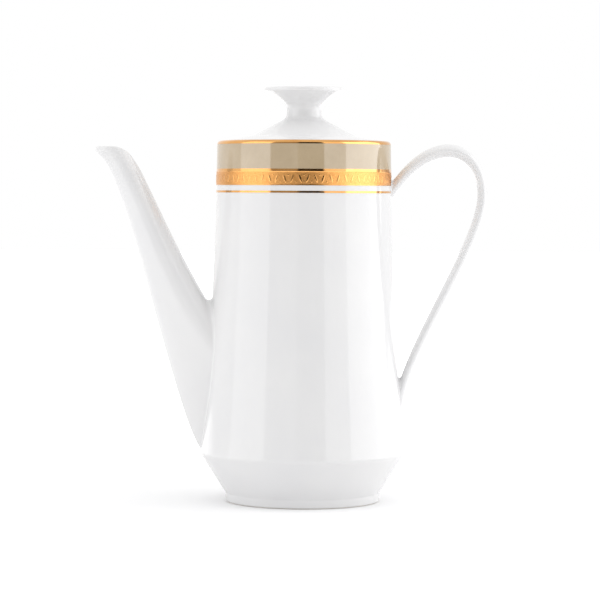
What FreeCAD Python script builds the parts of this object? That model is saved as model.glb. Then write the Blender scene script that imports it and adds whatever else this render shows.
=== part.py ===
"""Porcelain coffee pot: a turned body with a luted spout and loop handle, a lid with a mushroom knob and a
locking lug, and the fired gold and beige bands round the neck.

Millimetres, Z up. The origin is the centre of the foot ring, on the table. The spout points to -X and the
handle to +X.
"""
import FreeCAD, Part
import math
import os
from FreeCAD import Vector

# Body: a nearly straight neck, a flaring side and a cone under the belly
RIM_Z = 201.3
RIM_RADIUS = 48.4
RIM_ROUND = 2.0
NECK_LEAN = 1.0
NECK_PULL = 36.0
NECK_MARGIN = 2.5
BELLY_RADIUS = 57.0
BELLY_Z = 26.5
BELLY_ROUND = 4.0
BELLY_LEAN = 5.6
BELLY_PULL = 38.5
WALL = 4.0
FLOOR = 4.5
FLOOR_ROUND = 6.0

# Foot ring
FOOT_RADIUS = 43.3
FOOT_HEIGHT = 5.0
FOOT_ROUND = 1.3
FOOT_RING_WIDTH = 4.2
FOOT_RECESS = 2.5

# Gallery that carries the lid
RIM_WIDTH = 3.8
RIM_INNER_ROUND = 0.8
REBATE_DEPTH = 3.2
LEDGE_WIDTH = 4.6
LEDGE_THICKNESS = 4.0
LEDGE_ROUND = 1.0

# Lid: a flat brim, a cone that sweeps up to the knob's neck, and a skirt that drops inside the ledge
LID_CLEARANCE = 0.4
LID_EDGE_RISE = 0.4
LID_EDGE_ROUND = 0.8
LID_BRIM_WIDTH = 15.2
LID_CREASE_RISE = 2.9
LID_SWEEP_WIDTH = 5.5
LID_SWEEP_RISE = 10.1
LID_THICKNESS = 4.0
SKIRT_CLEARANCE = 1.2
SKIRT_THICKNESS = 3.6
SKIRT_DEPTH = 15.5
SKIRT_ROUND = 1.2
VENT_DIAMETER = 3.6

# Locking lug at the foot of the skirt, and the notch in the ledge that it passes
LUG_REACH = 4.0
LUG_HEIGHT = 4.5
LUG_ANGLE = 15.0
LUG_ROUND = 0.8
NOTCH_CLEARANCE = 1.0

# Knob
KNOB_NECK_RADIUS = 9.6
KNOB_NECK_RISE = 17.2
KNOB_NECK_SWEEP = 4.5
KNOB_RADIUS = 22.2
KNOB_EDGE_RISE = 27.8
KNOB_EDGE_ROUND = 1.2
KNOB_TOP_RISE = 30.0
KNOB_SLOPE = 24.0
KNOB_SWEEP = 9.0

# Fired bands, from the rim downwards
BAND_THICKNESS = 0.12
BAND_CLEARANCE = 0.02
BEIGE_HEIGHT = 13.6
UPPER_LINE_HEIGHT = 1.4
RELIEF_HEIGHT = 7.6
BARE_GAP = 3.0
LOWER_LINE_HEIGHT = 1.1
BAND_STOP_CLEARANCE = 0.6

# Spout: its upper and under lines in the side view; a pull is how far a line holds its end direction
SPOUT_REACH = 67.9
SPOUT_DROP = 3.2
LIP_HEIGHT = 4.4
MOUTH_LENGTH = 17.7
MOUTH_REAR_RISE = 1.0
MOUTH_FLAT = 9.3
MOUTH_BACK_RADIUS = 13.0
MOUTH_BACK_TURN = 54.0
MOUTH_REAR_WALL = 5.0
UPPER_ROOT_Z = 96.0
UPPER_ROOT_DEPTH = 8.0
UPPER_ROOT_LEAN = 32.5
UPPER_ROOT_PULL = 50.3
UPPER_MOUTH_LEAN = 28.0
UPPER_MOUTH_PULL = 40.4
UNDER_ROOT_Z = 25.5
UNDER_ROOT_DEPTH = 4.1
UNDER_ROOT_PULL = 15.3
UNDER_LIP_PULL = 19.0
UNDER_LIP_DIP = 18.5

# Spout: its sections
SPOUT_WALL = 3.0
SPOUT_ROOT_HALF_WIDTH = 19.4
SPOUT_MOUTH_HALF_WIDTH = 7.8
SPOUT_WIDTH_FADE = 1.2
SPOUT_ROOT_WAIST = 0.2
SPOUT_ROOT_CROWN = 0.8
SPOUT_ROOT_KEEL = 0.2
SPOUT_STEPS = 7
SPOUT_LUTE_ROUND = 2.0

# Pouring hole through the wall behind the spout
POUR_HOLE_WIDTH = 17.0
POUR_HOLE_HEIGHT = 38.0
POUR_HOLE_Z = 74.0

# Handle: its centre line in the side view, as a rise, a crown, a leg and a tail
HANDLE_ROOT_DROP = 28.5
HANDLE_ROOT_RISE = 58.0
HANDLE_ROOT_SINK = 6.0
HANDLE_ROOT_PULL = 21.5
CROWN_REACH = 32.4
CROWN_DROP = 4.9
CROWN_FRONT_PULL = 12.4
CROWN_BACK_PULL = 10.0
BACK_REACH = 51.5
BACK_DROP = 29.6
BACK_TOP_PULL = 16.2
LEG_TOP_PULL = 25.8
LEG_FOOT_PULL = 32.8
LEG_FOOT_Z = 56.6
LEG_FOOT_LEAN = 9.6
LEG_FOOT_SINK = 0.5
TAIL_DROP = 10.0
TAIL_SINK = 3.8

# Handle: its thickness in the side view and its width across, at the ends of those four stretches
ROOT_THICKNESS = 6.0
ROOT_WIDTH = 12.0
CROWN_THICKNESS = 7.5
CROWN_WIDTH = 12.6
BACK_THICKNESS = 5.7
BACK_WIDTH = 11.4
LEG_THICKNESS = 4.7
LEG_WIDTH = 9.6
TAIL_THICKNESS = 4.4
TAIL_WIDTH = 8.6
HANDLE_LUTE_ROUND = 0.8

# How deep below the glaze a luted fillet starts, which leaves the seam that can be seen
LUTE_SINK = 0.15

FULL_TURN = 360.0
QUARTER_TURN = 90.0
HALF = 0.5
ELLIPSE_PULL = 0.5523
HALVINGS = 40
TOUCH = 1e-4
OVERRUN = 10.0
UP = Vector(0, 0, 1)
ACROSS = Vector(0, 1, 0)
BACKWARDS = Vector(1, 0, 0)
ORIGIN = Vector(0, 0, 0)

# Heights and radii that several pieces share
rebate_radius = RIM_RADIUS - RIM_WIDTH
ledge_radius = rebate_radius - LEDGE_WIDTH
ledge_z = RIM_Z - REBATE_DEPTH
ledge_foot_z = ledge_z - LEDGE_THICKNESS
floor_z = FOOT_RECESS + FLOOR
skirt_radius = ledge_radius - SKIRT_CLEARANCE
skirt_foot_z = ledge_z - SKIRT_DEPTH
knob_neck_z = RIM_Z + KNOB_NECK_RISE
rim_line_z = RIM_Z - RIM_ROUND
beige_z = rim_line_z - BEIGE_HEIGHT
upper_line_z = beige_z - UPPER_LINE_HEIGHT
relief_z = upper_line_z - RELIEF_HEIGHT
lower_line_z = relief_z - BARE_GAP - LOWER_LINE_HEIGHT
neck_foot_z = lower_line_z - NECK_MARGIN
neck_foot_radius = RIM_RADIUS + (RIM_Z - neck_foot_z) * math.tan(math.radians(NECK_LEAN))
mouth_z = RIM_Z - SPOUT_DROP
spout_tip_x = -RIM_RADIUS - SPOUT_REACH


def turned_point(radius, height):
    """A point of a turned profile, in the YZ plane so that seams stay clear of the spout and the handle."""
    return Vector(0, radius, height)


def side_point(x, z):
    """A point of the side view, in the plane of the spout and the handle."""
    return Vector(x, 0, z)


def leaning(degrees):
    """A direction upwards that leans this far towards the spout."""
    angle = math.radians(degrees)
    return side_point(-math.sin(angle), math.cos(angle))


def line(start, end):
    return Part.LineSegment(start, end).toShape()


def chain(points):
    """Straight edges from point to point."""
    return [line(a, b) for a, b in zip(points, points[1:])]


def bezier(*poles):
    curve = Part.BezierCurve()
    curve.setPoles(list(poles))
    return curve


def turned(edges, angle=FULL_TURN):
    return Part.Face(Part.Wire(edges)).revolve(ORIGIN, UP, angle)


def between(first, last, share):
    return first + (last - first) * share


def hoops(solid, radius, height):
    """The circular edges of a turned solid at this radius and height."""
    found = []
    for edge in solid.Edges:
        curve = edge.Curve
        if not isinstance(curve, Part.Circle):
            continue
        if abs(curve.Radius - radius) < TOUCH and abs(curve.Center.z - height) < TOUCH:
            found.append(edge)
    return found


def wall_curve(inset):
    """The side of the body from the neck down to the belly, moved inwards by the inset."""
    neck = turned_point(neck_foot_radius - inset, neck_foot_z)
    belly = turned_point(BELLY_RADIUS - inset, BELLY_Z)
    neck_lean = math.radians(NECK_LEAN)
    belly_lean = math.radians(BELLY_LEAN)
    neck_pull = turned_point(math.sin(neck_lean), -math.cos(neck_lean)) * NECK_PULL
    belly_pull = turned_point(-math.sin(belly_lean), math.cos(belly_lean)) * BELLY_PULL
    return bezier(neck, neck + neck_pull, belly + belly_pull, belly)


def wall_radius(height):
    """Outer radius of the side wall at a height, by halving along its curve."""
    curve = wall_curve(0)
    above = 0.0
    below = 1.0
    for _ in range(HALVINGS):
        middle = between(above, below, HALF)
        if curve.value(middle).z > height:
            above = middle
        else:
            below = middle
    return curve.value(above).y


def body_block(inset):
    """The body's outside as a full solid, with its surface moved inwards by the inset."""
    top_z = RIM_Z - inset
    rim = turned_point(RIM_RADIUS - inset, top_z)
    outline = chain([
        turned_point(0, top_z),
        ORIGIN,
        turned_point(FOOT_RADIUS - inset, 0),
        turned_point(FOOT_RADIUS - inset, FOOT_HEIGHT),
        turned_point(BELLY_RADIUS - inset, BELLY_Z),
    ])
    outline += [wall_curve(inset).toShape()]
    outline += chain([turned_point(neck_foot_radius - inset, neck_foot_z), rim, turned_point(0, top_z)])
    block = turned(outline)
    block = block.makeFillet(BELLY_ROUND, hoops(block, BELLY_RADIUS - inset, BELLY_Z))
    block = block.makeFillet(RIM_ROUND - inset, hoops(block, rim.y, rim.z))
    return block.makeFillet(FOOT_ROUND, hoops(block, FOOT_RADIUS - inset, 0))


def cavity():
    """The hollow of the body, with the undercut below the ledge and the rebate for the lid."""
    cone_slope = (BELLY_RADIUS - FOOT_RADIUS) / (BELLY_Z - FOOT_HEIGHT)
    cone_wall = WALL * math.hypot(1, cone_slope)
    floor_radius = FOOT_RADIUS + (floor_z - FOOT_HEIGHT) * cone_slope - cone_wall
    neck_radius = RIM_RADIUS - WALL
    top_z = RIM_Z + OVERRUN
    outline = chain([
        turned_point(0, top_z),
        turned_point(0, floor_z),
        turned_point(floor_radius, floor_z),
        turned_point(BELLY_RADIUS - WALL, BELLY_Z),
    ])
    outline += [wall_curve(WALL).toShape()]
    outline += chain([
        turned_point(neck_foot_radius - WALL, neck_foot_z),
        turned_point(neck_radius, ledge_foot_z - (neck_radius - ledge_radius)),
        turned_point(ledge_radius, ledge_foot_z),
        turned_point(ledge_radius, ledge_z),
        turned_point(rebate_radius, ledge_z),
        turned_point(rebate_radius, top_z),
        turned_point(0, top_z),
    ])
    hollow = turned(outline)
    hollow = hollow.makeFillet(FLOOR_ROUND, hoops(hollow, floor_radius, floor_z))
    hollow = hollow.makeFillet(LEDGE_ROUND, hoops(hollow, ledge_radius, ledge_foot_z))
    return hollow.makeFillet(LEDGE_ROUND, hoops(hollow, ledge_radius, ledge_z))


def foot_recess():
    ring_radius = FOOT_RADIUS - FOOT_RING_WIDTH
    return Part.makeCone(ring_radius, ring_radius - FOOT_RECESS, FOOT_RECESS)


def ring_sector(inner, outer, low, high, angle):
    """Part of a ring, centred on the handle's side."""
    corners = [(inner, low), (outer, low), (outer, high), (inner, high), (inner, low)]
    sector = turned(chain([turned_point(*corner) for corner in corners]), angle)
    sector.rotate(ORIGIN, UP, -QUARTER_TURN - angle * HALF)
    return sector


def lug_notch():
    """The gap in the ledge that lets the lid's lug down past it."""
    slack = math.degrees(NOTCH_CLEARANCE / skirt_radius)
    reach = skirt_radius + LUG_REACH + NOTCH_CLEARANCE
    low = ledge_foot_z - LEDGE_WIDTH - OVERRUN
    return ring_sector(skirt_radius, reach, low, ledge_z + TOUCH, LUG_ANGLE + slack + slack)


def pour_hole():
    oval = Part.Ellipse(ORIGIN, POUR_HOLE_HEIGHT * HALF, POUR_HOLE_WIDTH * HALF).toShape()
    face = Part.Face(Part.Wire([oval]))
    face.rotate(ORIGIN, ACROSS, QUARTER_TURN)
    face.translate(UP * POUR_HOLE_Z)
    return face.extrude(-BACKWARDS * (BELLY_RADIUS + OVERRUN))


def pot_body():
    body = body_block(0).cut(cavity())
    body = body.makeFillet(RIM_INNER_ROUND, hoops(body, rebate_radius, RIM_Z))
    body = body.cut(foot_recess())
    body = body.cut(lug_notch())
    return body.cut(pour_hole())


def upper_line():
    """The spout's upper line, from inside the body to the rear of the mouth."""
    root = side_point(UPPER_ROOT_DEPTH - wall_radius(UPPER_ROOT_Z), UPPER_ROOT_Z)
    end = side_point(spout_tip_x + MOUTH_LENGTH, mouth_z + MOUTH_REAR_RISE)
    root_pull = leaning(UPPER_ROOT_LEAN) * UPPER_ROOT_PULL
    return bezier(root, root + root_pull, end - leaning(UPPER_MOUTH_LEAN) * UPPER_MOUTH_PULL, end)


def under_line():
    """The spout's under line, from inside the belly to the foot of the lip."""
    dip = math.radians(UNDER_LIP_DIP)
    root = side_point(UNDER_ROOT_DEPTH - BELLY_RADIUS, UNDER_ROOT_Z)
    end = side_point(spout_tip_x, mouth_z - LIP_HEIGHT)
    lip_pull = side_point(math.cos(dip), -math.sin(dip)) * UNDER_LIP_PULL
    return bezier(root, root - BACKWARDS * UNDER_ROOT_PULL, end + lip_pull, end)


def egg(top, bottom, half_width, waist=HALF, crown=ELLIPSE_PULL, keel=ELLIPSE_PULL):
    """A closed section between two points of the side view, widest at the waist, with a keel below."""
    centre = between(top, bottom, waist)
    side = ACROSS * half_width
    rise = (top - centre) * ELLIPSE_PULL
    fall = (bottom - centre) * ELLIPSE_PULL
    top_side = side * crown
    bottom_side = side * keel
    quarters = [
        bezier(centre + side, centre + side + rise, top + top_side, top),
        bezier(top, top - top_side, centre - side + rise, centre - side),
        bezier(centre - side, centre - side + fall, bottom - bottom_side, bottom),
        bezier(bottom, bottom + bottom_side, centre + side + fall, centre + side),
    ]
    return Part.Wire([quarter.toShape() for quarter in quarters])


def spout_section(share, top_inset, bottom_inset, side_inset):
    """The section at a share of the way from root to mouth, drawn in from the outside by the insets."""
    top = upper_line().value(share)
    bottom = under_line().value(share)
    across = (bottom - top).normalize()
    half_width = between(SPOUT_MOUTH_HALF_WIDTH, SPOUT_ROOT_HALF_WIDTH, (1 - share) ** SPOUT_WIDTH_FADE)
    waist = between(SPOUT_ROOT_WAIST, HALF, share)
    crown = between(SPOUT_ROOT_CROWN, ELLIPSE_PULL, share)
    keel = between(SPOUT_ROOT_KEEL, ELLIPSE_PULL, share)
    inner_top = top + across * top_inset
    inner_bottom = bottom - across * bottom_inset
    return egg(inner_top, inner_bottom, half_width - side_inset, waist, crown, keel)


def bore_section(share):
    """The bore's section, one wall inside the spout's surface."""
    upper = upper_line()
    under = under_line()
    across = (under.value(share) - upper.value(share)).normalize()
    top_inset = SPOUT_WALL / across.cross(upper.tangent(share)[0]).Length
    bottom_inset = SPOUT_WALL / across.cross(under.tangent(share)[0]).Length
    return spout_section(share, top_inset, bottom_inset, SPOUT_WALL)


def spout_loft(sections):
    """A solid through the sections, with the upright lip on the last of them."""
    lip = Part.Face(sections[-1]).extrude(UP * (LIP_HEIGHT + OVERRUN))
    return Part.makeLoft(sections, True, False).fuse(lip)


def spout_shares():
    return [index / SPOUT_STEPS for index in range(SPOUT_STEPS + 1)]


def spout_outside():
    return spout_loft([spout_section(share, 0, 0, 0) for share in spout_shares()])


def spout_bore():
    mouth = spout_section(1, MOUTH_REAR_WALL, SPOUT_WALL, SPOUT_WALL)
    return spout_loft([bore_section(share) for share in spout_shares()[:-1]] + [mouth])


def mouth_cut():
    """Everything above the mouth, which is level at the tip and rolls down at the back."""
    turn = math.radians(MOUTH_BACK_TURN)
    centre = side_point(spout_tip_x + MOUTH_FLAT, mouth_z - MOUTH_BACK_RADIUS)
    roll_start = centre + UP * MOUTH_BACK_RADIUS
    roll_middle = centre + leaning(-MOUTH_BACK_TURN * HALF) * MOUTH_BACK_RADIUS
    roll_end = centre + leaning(-MOUTH_BACK_TURN) * MOUTH_BACK_RADIUS
    front = side_point(spout_tip_x - OVERRUN, mouth_z)
    behind = roll_end + side_point(math.cos(turn), -math.sin(turn)) * OVERRUN
    top_z = mouth_z + LIP_HEIGHT + OVERRUN + OVERRUN
    outline = [line(front, roll_start), Part.Arc(roll_start, roll_middle, roll_end).toShape()]
    outline += chain([roll_end, behind, side_point(behind.x, top_z), side_point(front.x, top_z), front])
    face = Part.Face(Part.Wire(outline))
    face.translate(-ACROSS * BELLY_RADIUS)
    return face.extrude(ACROSS * (BELLY_RADIUS + BELLY_RADIUS))


def seam_edges(joined, one, other):
    """The edges of a joined shape that lie on both of the shapes it was made from."""
    edges = []
    for edge in joined.Edges:
        middle = Part.Vertex(edge.valueAt(between(edge.FirstParameter, edge.LastParameter, HALF)))
        if all(middle.distToShape(shape.Shells[0])[0] < TOUCH for shape in (one, other)):
            edges.append(edge)
    return edges


def luted(member, fillet):
    """The member with the fillet of its luted joint, seated on the body's surface."""
    core = body_block(LUTE_SINK)
    joined = core.fuse(member)
    joined = joined.makeFillet(fillet, seam_edges(joined, core, member))
    return joined.cut(body_block(0))


def spout():
    return luted(spout_outside(), SPOUT_LUTE_ROUND).cut(spout_bore()).cut(mouth_cut())


def handle_lines():
    """The handle's centre line as four curves: rise, crown, leg and tail."""
    root_way = leaning(HANDLE_ROOT_RISE - QUARTER_TURN)
    root = side_point(RIM_RADIUS, RIM_Z - HANDLE_ROOT_DROP) - root_way * HANDLE_ROOT_SINK
    crown = side_point(RIM_RADIUS + CROWN_REACH, RIM_Z - CROWN_DROP)
    back = side_point(RIM_RADIUS + BACK_REACH, RIM_Z - BACK_DROP)
    foot = side_point(wall_radius(LEG_FOOT_Z) - LEG_FOOT_SINK, LEG_FOOT_Z)
    foot_way = leaning(-LEG_FOOT_LEAN)
    tail_z = LEG_FOOT_Z - TAIL_DROP
    tail = side_point(wall_radius(tail_z) - TAIL_SINK, tail_z)
    return [
        bezier(root, root + root_way * HANDLE_ROOT_PULL, crown - BACKWARDS * CROWN_FRONT_PULL, crown),
        bezier(crown, crown + BACKWARDS * CROWN_BACK_PULL, back + UP * BACK_TOP_PULL, back),
        bezier(back, back - UP * LEG_TOP_PULL, foot + foot_way * LEG_FOOT_PULL, foot),
        bezier(foot, foot - foot_way * (TAIL_DROP * HALF), tail),
    ]


def strap(centre, way, thickness, width):
    """An oval section of the handle, square to its centre line."""
    up = way.cross(ACROSS).normalize() * (thickness * HALF)
    return egg(centre + up, centre - up, width * HALF)


def handle_sweep():
    """The solid handle, swept along its centre line through the sections at the ends of its stretches."""
    curves = handle_lines()
    tail = curves[-1]
    thicknesses = [ROOT_THICKNESS, CROWN_THICKNESS, BACK_THICKNESS, LEG_THICKNESS]
    widths = [ROOT_WIDTH, CROWN_WIDTH, BACK_WIDTH, LEG_WIDTH]
    sections = [
        strap(curve.value(0), curve.tangent(0)[0], thickness, width)
        for curve, thickness, width in zip(curves, thicknesses, widths)
    ]
    sections.append(strap(tail.value(1), tail.tangent(1)[0], TAIL_THICKNESS, TAIL_WIDTH))
    spine = Part.Wire([curve.toShape() for curve in curves])
    return spine.makePipeShell(sections, True, False)


def handle():
    return luted(handle_sweep(), HANDLE_LUTE_ROUND)


def lid_cover():
    edge_radius = rebate_radius - LID_CLEARANCE
    edge_z = RIM_Z + LID_EDGE_RISE
    inner_radius = skirt_radius - SKIRT_THICKNESS
    crease = turned_point(edge_radius - LID_BRIM_WIDTH, RIM_Z + LID_CREASE_RISE)
    cone_top = turned_point(KNOB_NECK_RADIUS + LID_SWEEP_WIDTH, RIM_Z + LID_SWEEP_RISE)
    neck = turned_point(KNOB_NECK_RADIUS, knob_neck_z)
    cone_way = (cone_top - crease).normalize()
    sweep = bezier(cone_top, cone_top + cone_way * KNOB_NECK_SWEEP, neck - UP * KNOB_NECK_SWEEP, neck)
    below = UP * LID_THICKNESS
    hollow_top = turned_point(0, cone_top.z - LID_THICKNESS)
    outline = chain([
        hollow_top,
        cone_top - below,
        crease - below,
        turned_point(inner_radius, crease.z - LID_THICKNESS),
        turned_point(inner_radius, skirt_foot_z),
        turned_point(skirt_radius, skirt_foot_z),
        turned_point(skirt_radius, ledge_z),
        turned_point(edge_radius, ledge_z),
        turned_point(edge_radius, edge_z),
        crease,
        cone_top,
    ])
    outline += [sweep.toShape()]
    outline += chain([neck, turned_point(0, knob_neck_z), hollow_top])
    cover = turned(outline)
    cover = cover.makeFillet(LID_EDGE_ROUND, hoops(cover, edge_radius, edge_z))
    cover = cover.makeFillet(SKIRT_ROUND, hoops(cover, inner_radius, skirt_foot_z))
    vent_base = side_point(-between(crease.y, cone_top.y, HALF), ledge_z)
    return cover.cut(Part.makeCylinder(VENT_DIAMETER * HALF, knob_neck_z - ledge_z, vent_base))


def lid_knob():
    slope = math.radians(KNOB_SLOPE)
    neck = turned_point(KNOB_NECK_RADIUS, knob_neck_z)
    edge = turned_point(KNOB_RADIUS, RIM_Z + KNOB_EDGE_RISE)
    top = turned_point(0, RIM_Z + KNOB_TOP_RISE)
    flare_pull = turned_point(math.cos(slope), math.sin(slope)) * KNOB_SWEEP
    flare = bezier(neck, neck + UP * KNOB_NECK_SWEEP, edge - flare_pull, edge)
    outline = [flare.toShape()]
    outline += chain([edge, turned_point(KNOB_RADIUS, top.z), top, turned_point(0, knob_neck_z), neck])
    knob = turned(outline)
    return knob.makeFillet(KNOB_EDGE_ROUND, hoops(knob, KNOB_RADIUS, top.z))


def lid_lug():
    reach = skirt_radius + LUG_REACH
    top_z = skirt_foot_z + LUG_HEIGHT
    lug = ring_sector(skirt_radius, reach, skirt_foot_z, top_z, LUG_ANGLE)
    return lug.makeFillet(LUG_ROUND, hoops(lug, reach, skirt_foot_z) + hoops(lug, reach, top_z))


def band_stop():
    """The window round the handle's root where the fired bands stop, taller above, in the narrow crotch."""
    crotch = math.radians(QUARTER_TURN - HANDLE_ROOT_RISE)
    half_height = ROOT_THICKNESS * HALF / math.sin(crotch)
    margin = HANDLE_LUTE_ROUND + BAND_STOP_CLEARANCE
    top_margin = HANDLE_LUTE_ROUND / math.tan(crotch * HALF) + BAND_STOP_CLEARANCE
    centre = side_point(0, RIM_Z - HANDLE_ROOT_DROP)
    top = centre + UP * (half_height + top_margin)
    bottom = centre - UP * (half_height + margin)
    window = Part.Face(egg(top, bottom, ROOT_WIDTH * HALF + margin))
    return window.extrude(BACKWARDS * (BELLY_RADIUS + OVERRUN))


def fired_skin():
    """The thin layer over the body that the bands are parts of."""
    return body_block(-BAND_CLEARANCE - BAND_THICKNESS).cut(body_block(-BAND_CLEARANCE))


def slab(low, height):
    return Part.makeCylinder(BELLY_RADIUS + OVERRUN, height, UP * low)


def band(low, height):
    """A fired band round the neck, stopped at the handle's root."""
    return fired_skin().common(slab(low, height)).cut(band_stop())


def gold_rim_line():
    """Gold over the rounded edge of the rim."""
    height = RIM_ROUND + OVERRUN
    inside = Part.makeCylinder(RIM_RADIUS - RIM_ROUND, height, UP * rim_line_z)
    return fired_skin().common(slab(rim_line_z, height).cut(inside))


def write(pieces):
    os.makedirs("parts", exist_ok=True)
    for name, shape in pieces.items():
        shape.exportStep("parts/" + name + ".step")


write({
    "pot_body": pot_body(),
    "spout": spout(),
    "handle": handle(),
    "lid_cover": lid_cover(),
    "lid_knob": lid_knob(),
    "lid_lug": lid_lug(),
    "gold_rim_line": gold_rim_line(),
    "beige_band": band(beige_z, BEIGE_HEIGHT),
    "gold_upper_line": band(upper_line_z, UPPER_LINE_HEIGHT),
    "gold_relief_band": band(relief_z, RELIEF_HEIGHT),
    "gold_lower_line": band(lower_line_z, LOWER_LINE_HEIGHT),
})
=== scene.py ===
"""Looks of the porcelain coffee pot: smooth glazed members, fired gold and beige bands, soft studio light.

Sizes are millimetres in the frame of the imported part, Z up, spout to -X and handle to +X. Each piece is a
fine mesh in the place of a solid, so the sizes below are those of the solids.
"""
import bpy
import math
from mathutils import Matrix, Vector


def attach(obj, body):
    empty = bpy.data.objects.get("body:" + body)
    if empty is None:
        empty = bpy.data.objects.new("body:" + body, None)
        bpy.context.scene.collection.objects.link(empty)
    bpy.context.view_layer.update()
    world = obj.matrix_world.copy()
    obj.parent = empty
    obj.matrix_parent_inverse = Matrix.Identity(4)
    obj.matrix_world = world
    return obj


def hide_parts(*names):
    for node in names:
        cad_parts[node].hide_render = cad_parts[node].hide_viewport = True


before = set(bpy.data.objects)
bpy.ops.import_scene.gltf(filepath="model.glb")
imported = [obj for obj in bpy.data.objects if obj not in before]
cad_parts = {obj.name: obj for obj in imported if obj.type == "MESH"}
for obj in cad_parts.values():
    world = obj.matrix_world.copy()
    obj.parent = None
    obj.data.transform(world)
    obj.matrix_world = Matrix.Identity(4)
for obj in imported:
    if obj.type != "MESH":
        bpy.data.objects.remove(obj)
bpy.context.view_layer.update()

METRES = 0.001

# Body
RIM_Z = 201.3
RIM_RADIUS = 48.4
RIM_ROUND = 2.0
NECK_LEAN = 1.0
NECK_PULL = 36.0
NECK_FOOT_Z = 170.5
BELLY_RADIUS = 57.0
BELLY_Z = 26.5
BELLY_ROUND = 4.0
BELLY_LEAN = 5.6
BELLY_PULL = 38.5
WALL = 4.0
FLOOR_Z = 7.0
FLOOR_ROUND = 6.0
FOOT_RADIUS = 43.3
FOOT_HEIGHT = 5.0
FOOT_ROUND = 1.3
FOOT_CREASE_ROUND = 1.5
FOOT_RING_WIDTH = 4.2
FOOT_RECESS = 2.5
GLAZE_ROUND = 0.6
UNDERCUT_ROUND = 3.0

# Gallery and the notch for the lid's lug
REBATE_RADIUS = 44.6
RIM_INNER_ROUND = 0.8
LEDGE_RADIUS = 40.0
LEDGE_Z = 198.1
LEDGE_FOOT_Z = 194.1
LEDGE_ROUND = 1.0
NOTCH_RADIUS = 43.8
NOTCH_HALF_ANGLE = 9.0
NOTCH_CORNER_ANGLE = 0.7
NOTCH_FOOT_Z = 186.0

# Pouring hole behind the spout
POUR_HOLE_WIDTH = 17.0
POUR_HOLE_HEIGHT = 38.0
POUR_HOLE_Z = 74.0

# Lid
LID_EDGE_RADIUS = 44.2
LID_EDGE_Z = 201.7
LID_EDGE_ROUND = 0.8
LID_CREASE_RADIUS = 29.0
LID_CREASE_Z = 204.2
LID_CREASE_ROUND = 6.0
LID_CONE_RADIUS = 15.1
LID_CONE_Z = 211.4
LID_THICKNESS = 4.0
SKIRT_RADIUS = 38.8
SKIRT_INNER_RADIUS = 35.2
SKIRT_FOOT_Z = 182.6
SKIRT_ROUND = 1.2
VENT_DIAMETER = 3.6
LUG_REACH = 4.0
LUG_HEIGHT = 4.5
LUG_ANGLE = 15.0
LUG_ROUND = 0.8
LUG_END_POWER = 12
LUG_END_SIZE = 0.1

# Knob
KNOB_NECK_RADIUS = 9.6
KNOB_NECK_Z = 218.5
KNOB_NECK_SWEEP = 4.5
KNOB_RADIUS = 22.2
KNOB_EDGE_Z = 229.1
KNOB_EDGE_ROUND = 1.1
KNOB_TOP_Z = 231.3
KNOB_SLOPE = 24.0
KNOB_SWEEP = 9.0

# Fired bands
BAND_INNER = 0.02
BAND_OUTER = 0.14
RIM_LINE_Z = 199.3
BEIGE_Z = 185.7
UPPER_LINE_Z = 184.3
RELIEF_Z = 176.7
LOWER_LINE_Z = 172.6
LOWER_LINE_TOP_Z = 173.7
BAND_STOP_TOP_Z = 181.85
BAND_STOP_Z = 173.8
BAND_STOP_HALF_WIDTH = 7.4

# Ornament of the etched band: pairs of slender leaves and small beads between two raised edges
LEAF_PAIRS = 36
LEAF_LENGTH = 4.6
LEAF_WIDTH = 1.25
LEAF_LEAN = 20.0
LEAF_SPREAD = 1.25
LEAF_FLAT = 0.45
LEAF_POINT = 0.6
LEAF_HEIGHT = 0.1
BEAD_RADIUS = 0.5
BEAD_HEIGHT = 0.09
EDGE_WIDTH = 0.55
EDGE_HEIGHT = 0.07
COLUMNS_PER_PAIR = 44
RELIEF_ROWS = 38

# Spout
SPOUT_TIP_X = -116.3
MOUTH_Z = 198.1
LIP_HEIGHT = 4.4
LIP_CORNER = 1.6
LIP_EDGE = 1.0
MOUTH_LENGTH = 17.7
MOUTH_REAR_RISE = 1.0
MOUTH_FLAT = 9.3
MOUTH_BACK_RADIUS = 13.0
MOUTH_BACK_TURN = 54.0
MOUTH_REAR_WALL = 5.0
UPPER_ROOT_Z = 96.0
UPPER_ROOT_DEPTH = 8.0
UPPER_ROOT_LEAN = 32.5
UPPER_ROOT_PULL = 50.3
UPPER_MOUTH_LEAN = 28.0
UPPER_MOUTH_PULL = 40.4
UNDER_ROOT_Z = 25.5
UNDER_ROOT_DEPTH = 4.1
UNDER_ROOT_PULL = 15.3
UNDER_LIP_PULL = 19.0
UNDER_LIP_DIP = 18.5
SPOUT_WALL = 3.0
SPOUT_ROOT_HALF_WIDTH = 19.4
SPOUT_MOUTH_HALF_WIDTH = 7.8
SPOUT_WIDTH_FADE = 1.2
SPOUT_ROOT_WAIST = 0.2
SPOUT_ROOT_CROWN = 0.8
SPOUT_ROOT_KEEL = 0.2
SPOUT_LUTE_ROUND = 2.0
SPOUT_FREE_SHARE = 0.7
BORE_FREE_SHARE = 0.8
BORE_MOUTH_SHARE = 0.7

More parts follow.
